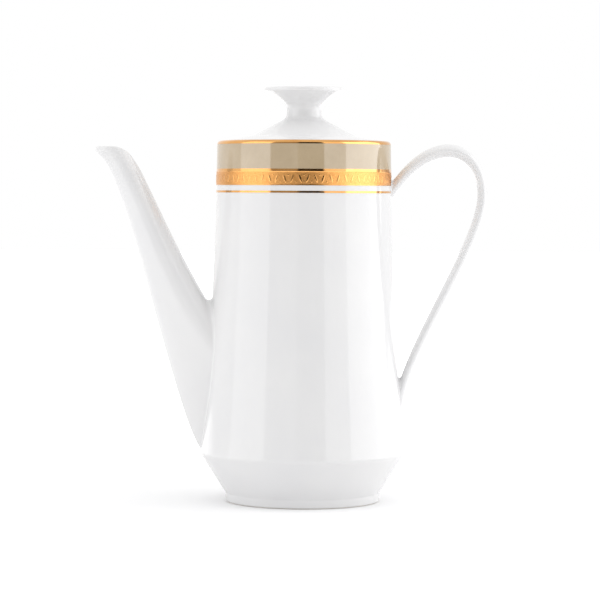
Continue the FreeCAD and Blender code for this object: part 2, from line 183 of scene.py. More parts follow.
# Handle
HANDLE_ROOT_Z = 172.8
HANDLE_ROOT_RISE = 58.0
HANDLE_ROOT_SINK = 6.0
HANDLE_ROOT_PULL = 21.5
CROWN_X = 80.8
CROWN_Z = 196.4
CROWN_FRONT_PULL = 12.4
CROWN_BACK_PULL = 10.0
BACK_X = 99.9
BACK_Z = 171.7
BACK_TOP_PULL = 16.2
LEG_TOP_PULL = 25.8
LEG_FOOT_PULL = 32.8
LEG_FOOT_Z = 56.6
LEG_FOOT_LEAN = 9.6
LEG_FOOT_SINK = 0.5
TAIL_DROP = 10.0
TAIL_SINK = 3.8
HANDLE_THICKNESSES = (6.0, 7.5, 5.7, 4.7, 4.4)
HANDLE_WIDTHS = (12.0, 12.6, 11.4, 9.6, 8.6)
HANDLE_LUTE_ROUND = 0.8
CROWN_PLACE = 1.0
LEG_PLACE = 2.2
TAIL_PLACE = 4.0

# How fine the meshes are
SEGMENTS = 192
WALL_STEPS = 64
LINE_STEP = 4.0
LINE_END_STEP = 0.4
ARC_STEPS = 7
VENT_SEGMENTS = 48
BAND_ROW_HEIGHT = 1.0
SPOUT_QUARTER_STEPS = 20
SPOUT_ROWS = 110
BORE_ROWS = 50
MOUTH_BIAS = 1.5
LINE_SAMPLES = 260
HANDLE_STEPS = 96
HANDLE_ROWS = 170
LUTE_ROWS = 8
HALVINGS = 40
SLOPE_STEP = 0.001
NORMAL_STEP = 0.002
PARALLEL_LIMIT = 0.999
SEAM_SINK = 0.05
ROOT_SINK = 1.5
SHARP_ANGLE = 40.0

ELLIPSE_PULL = 0.5523
HALF = 0.5
QUARTERS = 4
RIGHT_ANGLE = 90.0
FULL_TURN = 2 * math.pi
UP = Vector((0, 0, 1))
ACROSS = Vector((0, 1, 0))
BACKWARDS = Vector((1, 0, 0))


# Curves and profiles

def between(first, last, share):
    return first + (last - first) * share


def ease(share):
    """From 0 to 1 with a soft start and end."""
    share = min(max(share, 0.0), 1.0)
    return share * share * (3 - 2 * share)


def bezier(poles, share):
    """A point of the Bezier curve with these poles."""
    points = list(poles)
    while len(points) > 1:
        points = [between(a, b, share) for a, b in zip(points, points[1:])]
    return points[0]


def profile_point(radius, height):
    return Vector((radius, height))


def side_point(x, z):
    return Vector((x, 0, z))


def leaning(degrees):
    """A direction upwards that leans this far towards the spout."""
    angle = math.radians(degrees)
    return side_point(-math.sin(angle), math.cos(angle))


def corner(before, point, after, radius):
    """The points of a round of this radius at a corner of a path."""
    way_in = (before - point).normalized()
    way_out = (after - point).normalized()
    half_angle = way_in.angle(way_out) * HALF
    reach = radius / math.tan(half_angle)
    start = point + way_in * reach
    end = point + way_out * reach
    weight = math.sin(half_angle)
    return [conic(start, point, end, weight, step / ARC_STEPS) for step in range(ARC_STEPS + 1)]


def conic(start, middle, end, weight, share):
    """A point of the arc from start to end that is tangent to the lines to the middle point."""
    a = (1 - share) ** 2
    b = 2 * weight * share * (1 - share)
    c = share ** 2
    return (start * a + middle * b + end * c) / (a + b + c)


def rounded(corners):
    """A path through (point, round) corners, with an arc at each corner that has a round."""
    path = [corners[0][0]]
    for before, (point, radius), after in zip(corners, corners[1:], corners[2:]):
        path += corner(before[0], point, after[0], radius) if radius else [point]
    path.append(corners[-1][0])
    return path


def supported(path):
    """The path with its long straight runs divided, finest at their ends."""
    points = [path[0]]
    for start, end in zip(path, path[1:]):
        length = (end - start).length
        if length > LINE_STEP:
            edge = LINE_END_STEP / length
            count = max(1, math.ceil(length / LINE_STEP))
            inner = [between(edge, 1 - edge, step / count) for step in range(count + 1)]
            points += [between(start, end, share) for share in inner]
        points.append(end)
    return points


# The body's profile, which the other pieces follow

neck_foot_radius = RIM_RADIUS + (RIM_Z - NECK_FOOT_Z) * math.tan(math.radians(NECK_LEAN))


def wall_points(inset):
    """The side of the body from the belly up to the neck, moved inwards by the inset."""
    neck = profile_point(neck_foot_radius - inset, NECK_FOOT_Z)
    belly = profile_point(BELLY_RADIUS - inset, BELLY_Z)
    neck_lean = math.radians(NECK_LEAN)
    belly_lean = math.radians(BELLY_LEAN)
    neck_pull = profile_point(math.sin(neck_lean), -math.cos(neck_lean)) * NECK_PULL
    belly_pull = profile_point(-math.sin(belly_lean), math.cos(belly_lean)) * BELLY_PULL
    poles = [belly, belly + belly_pull, neck + neck_pull, neck]
    return [bezier(poles, step / WALL_STEPS) for step in range(WALL_STEPS + 1)]


def outer_corners():
    """The outside of the body from the foot to the rim, as corners and their rounds."""
    wall = wall_points(0)
    corners = [
        (profile_point(FOOT_RADIUS, 0), FOOT_ROUND),
        (profile_point(FOOT_RADIUS, FOOT_HEIGHT), FOOT_CREASE_ROUND),
        (wall[0], BELLY_ROUND),
    ]
    corners += [(point, 0) for point in wall[1:]]
    corners.append((profile_point(RIM_RADIUS, RIM_Z), RIM_ROUND))
    return corners


def inner_corners():
    """The inside of the body from the rim down to the middle of the floor."""
    cone_slope = (BELLY_RADIUS - FOOT_RADIUS) / (BELLY_Z - FOOT_HEIGHT)
    floor_radius = FOOT_RADIUS + (FLOOR_Z - FOOT_HEIGHT) * cone_slope - WALL * math.hypot(1, cone_slope)
    neck_radius = RIM_RADIUS - WALL
    wall = wall_points(WALL)[::-1]
    corners = [
        (profile_point(REBATE_RADIUS, RIM_Z), RIM_INNER_ROUND),
        (profile_point(REBATE_RADIUS, LEDGE_Z), GLAZE_ROUND),
        (profile_point(LEDGE_RADIUS, LEDGE_Z), LEDGE_ROUND),
        (profile_point(LEDGE_RADIUS, LEDGE_FOOT_Z), LEDGE_ROUND),
        (profile_point(neck_radius, LEDGE_FOOT_Z - (neck_radius - LEDGE_RADIUS)), UNDERCUT_ROUND),
    ]
    corners += [(point, 0) for point in wall[:-1]]
    corners.append((wall[-1], BELLY_ROUND))
    corners.append((profile_point(floor_radius, FLOOR_Z), FLOOR_ROUND))
    corners.append((profile_point(0, FLOOR_Z), 0))
    return corners


def body_profile():
    """The whole section of the body, from the middle of its underside round to the middle of its floor."""
    ring_radius = FOOT_RADIUS - FOOT_RING_WIDTH
    under = [
        (profile_point(0, FOOT_RECESS), 0),
        (profile_point(ring_radius - FOOT_RECESS, FOOT_RECESS), GLAZE_ROUND),
        (profile_point(ring_radius, 0), GLAZE_ROUND),
    ]
    return supported(rounded(under + outer_corners() + inner_corners()))


def outline():
    """The outside of the body as a list of points that rise from the foot to the rim."""
    foot = (profile_point(FOOT_RADIUS - FOOT_RING_WIDTH, 0), 0)
    rim = (profile_point(REBATE_RADIUS, RIM_Z), 0)
    return supported(rounded([foot] + outer_corners() + [rim]))


body_outline = outline()


def wall_at(height):
    """Radius of the body's outside at a height, and how much it leans there."""
    for low, high in zip(body_outline, body_outline[1:]):
        if low.y <= height < high.y:
            slope = (high.x - low.x) / (high.y - low.y)
            return low.x + (height - low.y) * slope, slope
    last = body_outline[-1]
    return last.x, 0.0


def gap(point):
    """Distance of a point from the outside of the body, negative inside it."""
    radius, slope = wall_at(point.z)
    return (math.hypot(point.x, point.y) - radius) / math.hypot(1, slope)


def wall_normal(point):
    _, slope = wall_at(point.z)
    flat = Vector((point.x, point.y, 0)).normalized()
    return (flat - UP * slope).normalized()


def seated(point, sink):
    """The point moved onto the body, this far below its surface."""
    return point - wall_normal(point) * (gap(point) + sink)


# Meshes

def placed(name, data):
    """An object of the scene that holds this mesh, lamp or camera."""
    made = bpy.data.objects.new(name, data)
    bpy.context.scene.collection.objects.link(made)
    return made


def smooth(mesh):
    mesh.shade_smooth()
    mesh.set_sharp_from_angle(angle=math.radians(SHARP_ANGLE))


def piece(name, vertices, faces, body, node, material):
    """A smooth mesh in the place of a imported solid, moving with its body."""
    mesh = bpy.data.meshes.new(name)
    mesh.from_pydata([vertex * METRES for vertex in vertices], [], faces)
    mesh.validate()
    smooth(mesh)
    mesh.materials.append(material)
    made = placed(name, mesh)
    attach(made, body)
    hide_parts(node)
    return made


def grid_faces(rows, columns, close_rows=False, close_columns=True):
    """Quads of a grid whose vertices are listed row by row."""
    faces = []
    for row in range(rows if close_rows else rows - 1):
        upper = (row + 1) % rows
        for column in range(columns if close_columns else columns - 1):
            after = (column + 1) % columns
            faces.append((
                row * columns + column,
                row * columns + after,
                upper * columns + after,
                upper * columns + column,
            ))
    return faces


def fan(centre, ring, outwards):
    """Triangles from a middle vertex to a ring of vertices."""
    pairs = zip(ring, ring[1:] + ring[:1])
    return [(centre, a, b) if outwards else (centre, b, a) for a, b in pairs]


def around(radius, angle, height):
    return Vector((radius * math.cos(angle), radius * math.sin(angle), height))


def turns(count):
    return [FULL_TURN * step / count for step in range(count)]


def lathe(profile, shape=around):
    """Vertices and faces of a profile turned from one point on the axis to another."""
    angles = turns(SEGMENTS)
    inner = profile[1:-1]
    vertices = [shape(point.x, angle, point.y) for point in inner for angle in angles]
    faces = grid_faces(len(inner), SEGMENTS)
    first = len(vertices)
    vertices += [shape(0, 0, profile[0].y), shape(0, 0, profile[-1].y)]
    last_row = (len(inner) - 1) * SEGMENTS
    faces += fan(first, list(range(SEGMENTS)), False)
    faces += fan(first + 1, list(range(last_row, last_row + SEGMENTS)), True)
    return vertices, faces


def ring_lathe(profile):
    """Vertices and faces of a closed profile turned into a ring."""
    angles = turns(SEGMENTS)
    vertices = [around(point.x, angle, point.y) for point in profile for angle in angles]
    return vertices, grid_faces(len(profile), SEGMENTS, close_rows=True)


def cut(target, cutter_vertices, cutter_faces):
    """A hole in the target in the shape of the cutter."""
    mesh = bpy.data.meshes.new("cutter")
    mesh.from_pydata([vertex * METRES for vertex in cutter_vertices], [], cutter_faces)
    cutter = placed("cutter", mesh)
    hole = target.modifiers.new("hole", "BOOLEAN")
    hole.operation = "DIFFERENCE"
    hole.solver = "EXACT"
    hole.object = cutter
    graph = bpy.context.evaluated_depsgraph_get()
    result = bpy.data.meshes.new_from_object(target.evaluated_get(graph))
    target.modifiers.remove(hole)
    bpy.data.objects.remove(cutter)
    target.data = result
    smooth(result)


def by_rows(columns):
    """The points of equally long columns, listed row by row."""
    return [point for row in zip(*columns) for point in row]


def prism(section, way):
    """Vertices and faces of a closed section pushed along a way."""
    count = len(section)
    vertices = section + [point + way for point in section]
    faces = grid_faces(2, count)
    faces.append(tuple(range(count))[::-1])
    faces.append(tuple(range(count, 2 * count)))
    return vertices, faces


# Members of the pot

def notched(radius, angle, height):
    """A point of the body, with the ledge pushed back where the lid's lug passes it."""
    turn = math.degrees(math.atan2(math.sin(angle), math.cos(angle)))
    share = 1 - ease((abs(turn) - NOTCH_HALF_ANGLE) / NOTCH_CORNER_ANGLE)
    on_ledge = NOTCH_FOOT_Z < height <= LEDGE_Z + GLAZE_ROUND and LEDGE_RADIUS <= radius <= REBATE_RADIUS
    if on_ledge and share > 0:
        room = (REBATE_RADIUS - NOTCH_RADIUS) / (REBATE_RADIUS - LEDGE_RADIUS)
        radius = between(radius, NOTCH_RADIUS + (radius - LEDGE_RADIUS) * room, share)
    return around(radius, angle, height)


def make_body(material):
    vertices, faces = lathe(body_profile(), notched)
    body = piece("body_shell", vertices, faces, "pot", "pot_body", material)
    half_width = POUR_HOLE_WIDTH * HALF
    half_height = POUR_HOLE_HEIGHT * HALF
    oval = [
        Vector((0, half_width * math.cos(angle), POUR_HOLE_Z + half_height * math.sin(angle)))
        for angle in turns(SEGMENTS)
    ]
    cut(body, *prism(oval, BACKWARDS * (-BELLY_RADIUS - WALL)))


def luted_end(surface, root, far, round_size):
    """Where a member's line leaves the fillet of its joint, and the fillet's points up to there.

    The surface gives a point and an outward normal at a share of the line, and the ball that makes the fillet
    touches both it and the body.
    """
    for _ in range(HALVINGS):
        middle = between(root, far, HALF)
        point, normal = surface(middle)
        facing = normal.dot(wall_normal(point))
        if gap(point) > round_size * (1 - facing):
            far = middle
        else:
            root = middle
    point, normal = surface(far)
    out = wall_normal(point)
    facing = min(max(normal.dot(out), -PARALLEL_LIMIT), PARALLEL_LIMIT)
    along_member = (out - normal * facing).normalized()
    along_body = (normal - out * facing).normalized()
    half_crotch = math.acos(-facing) * HALF
    reach = round_size / math.tan(half_crotch)
    crotch = point - along_member * reach
    foot = seated(crotch + along_body * reach, SEAM_SINK)
    weight = math.sin(half_crotch)
    shares = [step / LUTE_ROWS for step in range(LUTE_ROWS)]
    return far, [conic(foot, crotch, point, weight, share) for share in shares]


def resampled(points, count, bias):
    """Points spread along a line, closer together towards its end where the bias is over 1."""
    lengths = [0.0]
    for a, b in zip(points, points[1:]):
        lengths.append(lengths[-1] + (b - a).length)
    spread = []
    index = 0
    for step in range(count):
        target = lengths[-1] * (1 - (1 - step / (count - 1)) ** bias)
        while index < len(points) - 2 and lengths[index + 1] < target:
            index += 1
        length = lengths[index + 1] - lengths[index]
        share = (target - lengths[index]) / length if length else 0.0
        spread.append(between(points[index], points[index + 1], min(share, 1.0)))
    return spread


# Spout

def spout_upper(share):
    radius, _ = wall_at(UPPER_ROOT_Z)
    root = side_point(UPPER_ROOT_DEPTH - radius, UPPER_ROOT_Z)
    end = side_point(SPOUT_TIP_X + MOUTH_LENGTH, MOUTH_Z + MOUTH_REAR_RISE)
    root_pull = leaning(UPPER_ROOT_LEAN) * UPPER_ROOT_PULL
    mouth_pull = leaning(UPPER_MOUTH_LEAN) * UPPER_MOUTH_PULL
    return bezier([root, root + root_pull, end - mouth_pull, end], share)


def spout_under(share):
    dip = math.radians(UNDER_LIP_DIP)
    root = side_point(UNDER_ROOT_DEPTH - BELLY_RADIUS, UNDER_ROOT_Z)
    end = side_point(SPOUT_TIP_X, MOUTH_Z - LIP_HEIGHT)
    lip_pull = side_point(math.cos(dip), -math.sin(dip)) * UNDER_LIP_PULL
    return bezier([root, root - BACKWARDS * UNDER_ROOT_PULL, end + lip_pull, end], share)


def egg(top, bottom, half_width, waist, crown, keel, turn):
    """A point of a section that is widest at its waist; the turn runs from 0 to 4 round its quarters."""
    centre = between(top, bottom, waist)
    quarter = int(turn) % QUARTERS
    side = ACROSS * (half_width if quarter in (0, 3) else -half_width)
    end = top if quarter < 2 else bottom
    pull = side * (crown if quarter < 2 else keel)
    poles = [centre + side, centre + side + (end - centre) * ELLIPSE_PULL, end + pull, end]
    share = turn % 1
    return bezier(poles, share if quarter % 2 == 0 else 1 - share)


def spout_point(share, turn, top_inset=0.0, bottom_inset=0.0, side_inset=0.0):
    """A point of the spout's section at a share of the way to the mouth."""
    top = spout_upper(share)
    bottom = spout_under(share)
    across = (bottom - top).normalized()
    fade = max(1 - share, 0.0) ** SPOUT_WIDTH_FADE
    half_width = between(SPOUT_MOUTH_HALF_WIDTH, SPOUT_ROOT_HALF_WIDTH, fade)
    waist = between(SPOUT_ROOT_WAIST, HALF, share)
    crown = between(SPOUT_ROOT_CROWN, ELLIPSE_PULL, share)
    keel = between(SPOUT_ROOT_KEEL, ELLIPSE_PULL, share)
    inner_top = top + across * top_inset
    inner_bottom = bottom - across * bottom_inset
    return egg(inner_top, inner_bottom, half_width - side_inset, waist, crown, keel, turn)


def line_inset(line, share, across):
    """How far a wall's thickness reaches along a section that crosses this line."""
    way = (line(min(share + SLOPE_STEP, 1.0)) - line(max(share - SLOPE_STEP, 0.0))).normalized()
    return SPOUT_WALL / across.cross(way).length


def bore_point(share, turn):
    """A point of the bore's section, whose walls get their mouth thickness near the tip."""
    across = (spout_under(share) - spout_upper(share)).normalized()
    to_mouth = ease((share - BORE_MOUTH_SHARE) / (1 - BORE_MOUTH_SHARE))
    top_inset = between(line_inset(spout_upper, share, across), MOUTH_REAR_WALL, to_mouth)
    bottom_inset = between(line_inset(spout_under, share, across), SPOUT_WALL, to_mouth)
    return spout_point(share, turn, top_inset, bottom_inset, SPOUT_WALL)


def mouth_height(x):
    """Height of the mouth's edge, level at the tip and rolling down at the back."""
    turn = math.radians(MOUTH_BACK_TURN)
    run = x - SPOUT_TIP_X - MOUTH_FLAT
    centre_z = MOUTH_Z - MOUTH_BACK_RADIUS
    if run <= 0:
        return MOUTH_Z
    roll_end = MOUTH_BACK_RADIUS * math.sin(turn)
    if run < roll_end:
        return centre_z + math.sqrt(MOUTH_BACK_RADIUS ** 2 - run ** 2)
    return centre_z + MOUTH_BACK_RADIUS * math.cos(turn) - (run - roll_end) * math.tan(turn)


def mouth_line(point_at, turn, start):
    """A line of the spout or its bore from a share up to the mouth, with its lip standing upright."""
    line = []
    for step in range(LINE_SAMPLES + 1):
        share = between(start, 1.0, step / LINE_SAMPLES)
        point = point_at(share, turn)
        if point.z > mouth_height(point.x):
            break
        line.append(point)
    else:
        foot = line[-1]
        line = soft_corner(line, foot + UP * (mouth_height(foot.x) - foot.z))
    return line


def soft_corner(line, end):
    """The line continued to an end, with its corner rounded."""
    foot = line[-1]
    reach = min(LIP_CORNER, (end - foot).length * HALF)
    kept = [point for point in line if (point - foot).length > reach]
    start = kept[-1]
    after = foot + (end - foot).normalized() * reach
    bend = [conic(start, foot, after, math.sqrt(HALF), step / ARC_STEPS) for step in range(ARC_STEPS + 1)]
    return kept + bend + [between(after, end, HALF), end]


def spout_normal(share, turn):
    """Outward normal of the spout's surface."""
    step = NORMAL_STEP
    along = spout_point(min(share + step, 1.0), turn) - spout_point(max(share - step, 0.0), turn)
    round_it = spout_point(share, (turn + step) % QUARTERS) - spout_point(share, (turn - step) % QUARTERS)
    return along.cross(round_it).normalized()


def bore_root(turn):
    """Share of the way along the bore where it comes out of the body's wall."""
    inside = 0.0
    outside = BORE_FREE_SHARE
    for _ in range(HALVINGS):
        middle = between(inside, outside, HALF)
        if gap(bore_point(middle, turn)) > 0:
            outside = middle
        else:
            inside = middle
    return inside


def spout_column(turn):
    """One closed line of the spout: up its outside, over the edge of the mouth and down the bore."""
    def surface(share):
        return spout_point(share, turn), spout_normal(share, turn)
    start, lute = luted_end(surface, 0.0, SPOUT_FREE_SHARE, SPOUT_LUTE_ROUND)
    outside = mouth_line(spout_point, turn, start)
    bore = mouth_line(bore_point, turn, bore_root(turn))
    outer_edge = outside[-1]
    inner_edge = bore[-1]
    across = (inner_edge - outer_edge).normalized()
    outer_low = [point for point in outside if (point - outer_edge).length >= LIP_EDGE]
    inner_low = [point for point in bore if (point - inner_edge).length >= LIP_EDGE]
    weight = math.sqrt(HALF)
    shares = [step / ARC_STEPS for step in range(1, ARC_STEPS)]
    flat = [outer_edge + across * LIP_EDGE, inner_edge - across * LIP_EDGE]
    over = [conic(outer_low[-1], outer_edge, flat[0], weight, share) for share in shares]
    down = [conic(flat[1], inner_edge, inner_low[-1], weight, share) for share in shares]
    outer_rows = resampled(outer_low, SPOUT_ROWS, MOUTH_BIAS)
    inner_rows = resampled(inner_low, BORE_ROWS, MOUTH_BIAS)[::-1]
    return lute + outer_rows + over + flat + down + inner_rows


def make_spout(material):
    count = QUARTERS * SPOUT_QUARTER_STEPS
    columns = [spout_column(QUARTERS * step / count) for step in range(count, 0, -1)]
    faces = grid_faces(len(columns[0]), count, close_rows=True)
    piece("spout_shell", by_rows(columns), faces, "pot", "spout", material)


# Handle

def handle_curves():
    """Poles of the four curves of the handle's centre line: rise, crown, leg and tail."""
    root_way = leaning(HANDLE_ROOT_RISE - RIGHT_ANGLE)
    root = side_point(RIM_RADIUS, HANDLE_ROOT_Z) - root_way * HANDLE_ROOT_SINK
    crown = side_point(CROWN_X, CROWN_Z)
    back = side_point(BACK_X, BACK_Z)
    foot = side_point(wall_at(LEG_FOOT_Z)[0] - LEG_FOOT_SINK, LEG_FOOT_Z)
    foot_way = leaning(-LEG_FOOT_LEAN)
    tail_z = LEG_FOOT_Z - TAIL_DROP
    tail = side_point(wall_at(tail_z)[0] - TAIL_SINK, tail_z)
    return [
        [root, root + root_way * HANDLE_ROOT_PULL, crown - BACKWARDS * CROWN_FRONT_PULL, crown],
        [crown, crown + BACKWARDS * CROWN_BACK_PULL, back + UP * BACK_TOP_PULL, back],
        [back, back - UP * LEG_TOP_PULL, foot + foot_way * LEG_FOOT_PULL, foot],
        [foot, foot - foot_way * (TAIL_DROP * HALF), tail],
    ]


curves = handle_curves()


def handle_centre(place):
    """Point and direction of the centre line; the place runs from 0 to 4 along its curves."""
    index = min(int(place), len(curves) - 1)
    share = place - index
    before = bezier(curves[index], max(share - SLOPE_STEP, 0.0))
    after = bezier(curves[index], min(share + SLOPE_STEP, 1.0))
    return bezier(curves[index], share), (after - before).normalized()


def faired(values, place):
    """A value that runs smoothly through the values at the ends of the curves."""
    index = min(int(place), len(values) - 2)
    return between(values[index], values[index + 1], ease(place - index))


def handle_point(place, angle):
    centre, way = handle_centre(place)
    up = way.cross(ACROSS).normalized() * (faired(HANDLE_THICKNESSES, place) * HALF)
    side = ACROSS * (faired(HANDLE_WIDTHS, place) * HALF)
    return centre + up * math.sin(angle) + side * math.cos(angle)


def handle_normal(place, angle):
    """Outward normal of the handle's surface."""
    step = NORMAL_STEP
    along = handle_point(min(place + step, TAIL_PLACE), angle) - handle_point(max(place - step, 0.0), angle)
    round_it = handle_point(place, angle + step) - handle_point(place, angle - step)
    normal = along.cross(round_it).normalized()
    outwards = handle_point(place, angle) - handle_centre(place)[0]
    return normal if normal.dot(outwards) > 0 else -normal


def handle_column(angle):
    """One line along the handle, from the fillet of its upper joint to that of its lower one."""
    def surface(place):
        return handle_point(place, angle), handle_normal(place, angle)
    start, upper = luted_end(surface, 0.0, CROWN_PLACE, HANDLE_LUTE_ROUND)
    end, lower = luted_end(surface, TAIL_PLACE, LEG_PLACE, HANDLE_LUTE_ROUND)
    places = [between(start, end, step / LINE_SAMPLES) for step in range(LINE_SAMPLES + 1)]
    line = [handle_point(place, angle) for place in places]
    return upper + resampled(line, HANDLE_ROWS, bias=1.0) + lower[::-1]


def make_handle(material):
    columns = [handle_column(angle) for angle in turns(HANDLE_STEPS)]
    rows = len(columns[0])
    vertices = by_rows(columns)
    faces = grid_faces(rows, HANDLE_STEPS)
    first = list(range(HANDLE_STEPS))
    last = list(range((rows - 1) * HANDLE_STEPS, rows * HANDLE_STEPS))
    for ring, outwards in ((first, False), (last, True)):
        middle = sum((vertices[index] for index in ring), Vector()) / HANDLE_STEPS
        vertices.append(seated(middle, ROOT_SINK))
        faces += fan(len(vertices) - 1, ring, outwards)
    piece("handle_strap", vertices, faces, "pot", "handle", material)


# Lid

def make_lid(material):
    crease = profile_point(LID_CREASE_RADIUS, LID_CREASE_Z)
    cone_top = profile_point(LID_CONE_RADIUS, LID_CONE_Z)
    neck = profile_point(KNOB_NECK_RADIUS, KNOB_NECK_Z)
    rise = profile_point(0, 1)
    cone_way = (cone_top - crease).normalized()
    poles = [cone_top, cone_top + cone_way * KNOB_NECK_SWEEP, neck - rise * KNOB_NECK_SWEEP, neck]
    sweep = [(bezier(poles, step / (2 * ARC_STEPS)), 0) for step in range(2 * ARC_STEPS + 1)]
    below = rise * LID_THICKNESS
    corners = [
        (profile_point(0, LID_CONE_Z - LID_THICKNESS), 0),
        (cone_top - below, LID_CREASE_ROUND * HALF),
        (crease - below, LID_CREASE_ROUND * HALF),
        (profile_point(SKIRT_INNER_RADIUS, LID_CREASE_Z - LID_THICKNESS), GLAZE_ROUND),
        (profile_point(SKIRT_INNER_RADIUS, SKIRT_FOOT_Z), SKIRT_ROUND),
        (profile_point(SKIRT_RADIUS, SKIRT_FOOT_Z), GLAZE_ROUND),
        (profile_point(SKIRT_RADIUS, LEDGE_Z), GLAZE_ROUND),
        (profile_point(LID_EDGE_RADIUS, LEDGE_Z), GLAZE_ROUND),
        (profile_point(LID_EDGE_RADIUS, LID_EDGE_Z), LID_EDGE_ROUND),
        (crease, LID_CREASE_ROUND),
    ]
    corners += sweep
    corners.append((profile_point(0, KNOB_NECK_Z), 0))
    vertices, faces = lathe(supported(rounded(corners)))
    lid = piece("lid_shell", vertices, faces, "lid", "lid_cover", material)
    vent = BACKWARDS * -between(LID_CREASE_RADIUS, LID_CONE_RADIUS, HALF)
    hole = [vent + around(VENT_DIAMETER * HALF, angle, LEDGE_Z) for angle in turns(VENT_SEGMENTS)]
    cut(lid, *prism(hole, UP * (KNOB_NECK_Z - LEDGE_Z)))


def make_knob(material):
    slope = math.radians(KNOB_SLOPE)
    neck = profile_point(KNOB_NECK_RADIUS, KNOB_NECK_Z)
    edge = profile_point(KNOB_RADIUS, KNOB_EDGE_Z)
    flare_pull = profile_point(math.cos(slope), math.sin(slope)) * KNOB_SWEEP
    poles = [neck, neck + profile_point(0, 1) * KNOB_NECK_SWEEP, edge - flare_pull, edge]
    steps = 4 * ARC_STEPS
    corners = [(profile_point(0, KNOB_NECK_Z), 0)]
    corners += [(bezier(poles, step / steps), 0) for step in range(steps)]
    corners += [
        (edge, GLAZE_ROUND),
        (profile_point(KNOB_RADIUS, KNOB_TOP_Z), KNOB_EDGE_ROUND),
        (profile_point(0, KNOB_TOP_Z), 0),
    ]
    vertices, faces = lathe(supported(rounded(corners)))
    piece("knob_cap", vertices, faces, "lid", "lid_knob", material)


def make_lug(material):
    reach = SKIRT_RADIUS + LUG_REACH
    top_z = SKIRT_FOOT_Z + LUG_HEIGHT
    root = SKIRT_RADIUS - GLAZE_ROUND
    middle = between(SKIRT_FOOT_Z, top_z, HALF)
    section = rounded([
        (profile_point(root, middle), 0),
        (profile_point(root, SKIRT_FOOT_Z), GLAZE_ROUND * HALF),
        (profile_point(reach, SKIRT_FOOT_Z), LUG_ROUND),
        (profile_point(reach, top_z), LUG_ROUND),
        (profile_point(root, top_z), GLAZE_ROUND * HALF),
        (profile_point(root, middle), 0),
    ])[:-1]
    half_angle = math.radians(LUG_ANGLE) * HALF
    steps = 2 * ARC_STEPS
    vertices = []
    for step in range(steps + 1):
        share = 1 - 2 * step / steps
        size = max(math.sqrt(max(1 - abs(share) ** LUG_END_POWER, 0.0)), LUG_END_SIZE)
        turn = half_angle * share
        vertices += [
            around(between(root, point.x, size), turn, between(middle, point.y, size))
            for point in section
        ]
    count = len(section)
    faces = grid_faces(steps + 1, count)
    faces.append(tuple(range(count))[::-1])
    faces.append(tuple(range(steps * count, (steps + 1) * count)))
    piece("lug_tab", vertices, faces, "lid", "lid_lug", material)


# Fired bands

def band_profile(low, high):
    """A thin ring section that follows the body's side between two heights."""
    count = max(2, math.ceil((high - low) / BAND_ROW_HEIGHT))
    heights = [between(low, high, step / count) for step in range(count + 1)]
    outer = [profile_point(wall_at(height)[0] + BAND_OUTER, height) for height in heights]
    inner = [profile_point(wall_at(height)[0] + BAND_INNER, height) for height in heights[::-1]]
    return outer + inner


def make_beige(material):
    vertices, faces = ring_lathe(band_profile(BEIGE_Z, RIM_LINE_Z))
    piece("beige_ring", vertices, faces, "pot", "beige_band", material)


def make_upper_line(material):
    vertices, faces = ring_lathe(band_profile(UPPER_LINE_Z, BEIGE_Z))
    piece("upper_gold_ring", vertices, faces, "pot", "gold_upper_line", material)


def make_lower_line(material):
    """The thin gold line, open where the handle's root crosses it."""
    profile = band_profile(LOWER_LINE_Z, LOWER_LINE_TOP_Z)
    radius = wall_at(LOWER_LINE_Z)[0]
    start = math.asin(BAND_STOP_HALF_WIDTH / radius)
    angles = [between(start, FULL_TURN - start, step / SEGMENTS) for step in range(SEGMENTS + 1)]
    vertices = [around(point.x, angle, point.y) for point in profile for angle in angles]
    count = len(angles)
    faces = grid_faces(len(profile), count, close_rows=True, close_columns=False)
    faces.append(tuple(row * count for row in range(len(profile))))
    faces.append(tuple(row * count + count - 1 for row in range(len(profile)))[::-1])
    piece("lower_gold_ring", vertices, faces, "pot", "gold_lower_line", material)


def make_rim_line(material):
    """Gold over the rounded edge of the rim."""
    arc = corner(
        profile_point(wall_at(RIM_LINE_Z)[0], RIM_LINE_Z),
        profile_point(RIM_RADIUS, RIM_Z),
        profile_point(REBATE_RADIUS, RIM_Z),
        RIM_ROUND,
    )
    centre = profile_point(RIM_RADIUS - RIM_ROUND, RIM_Z - RIM_ROUND)
    outer = [point + (point - centre).normalized() * BAND_OUTER for point in arc]
    inner = [point + (point - centre).normalized() * BAND_INNER for point in arc[::-1]]
    vertices, faces = ring_lathe(outer + inner)
    piece("rim_gold_ring", vertices, faces, "pot", "gold_rim_line", material)


def bump(distance, radius):
    """A smooth hill that is 1 in its middle and 0 from its radius outwards."""
    return 1 - ease(distance / radius)


def leaf(run, rise):
    """Height share of one slender leaf with its foot at the origin; run and rise are millimetres."""
    angle = math.radians(LEAF_LEAN)
    along = rise * math.cos(angle) + run * math.sin(angle)
    across = run * math.cos(angle) - rise * math.sin(angle)
    share = along / LEAF_LENGTH
    if not 0 < share < 1:
        return 0.0
    half_width = LEAF_WIDTH * HALF * math.sin(math.pi * share) ** LEAF_POINT
    return 1 - ease((abs(across) / half_width - LEAF_FLAT) / (1 - LEAF_FLAT))


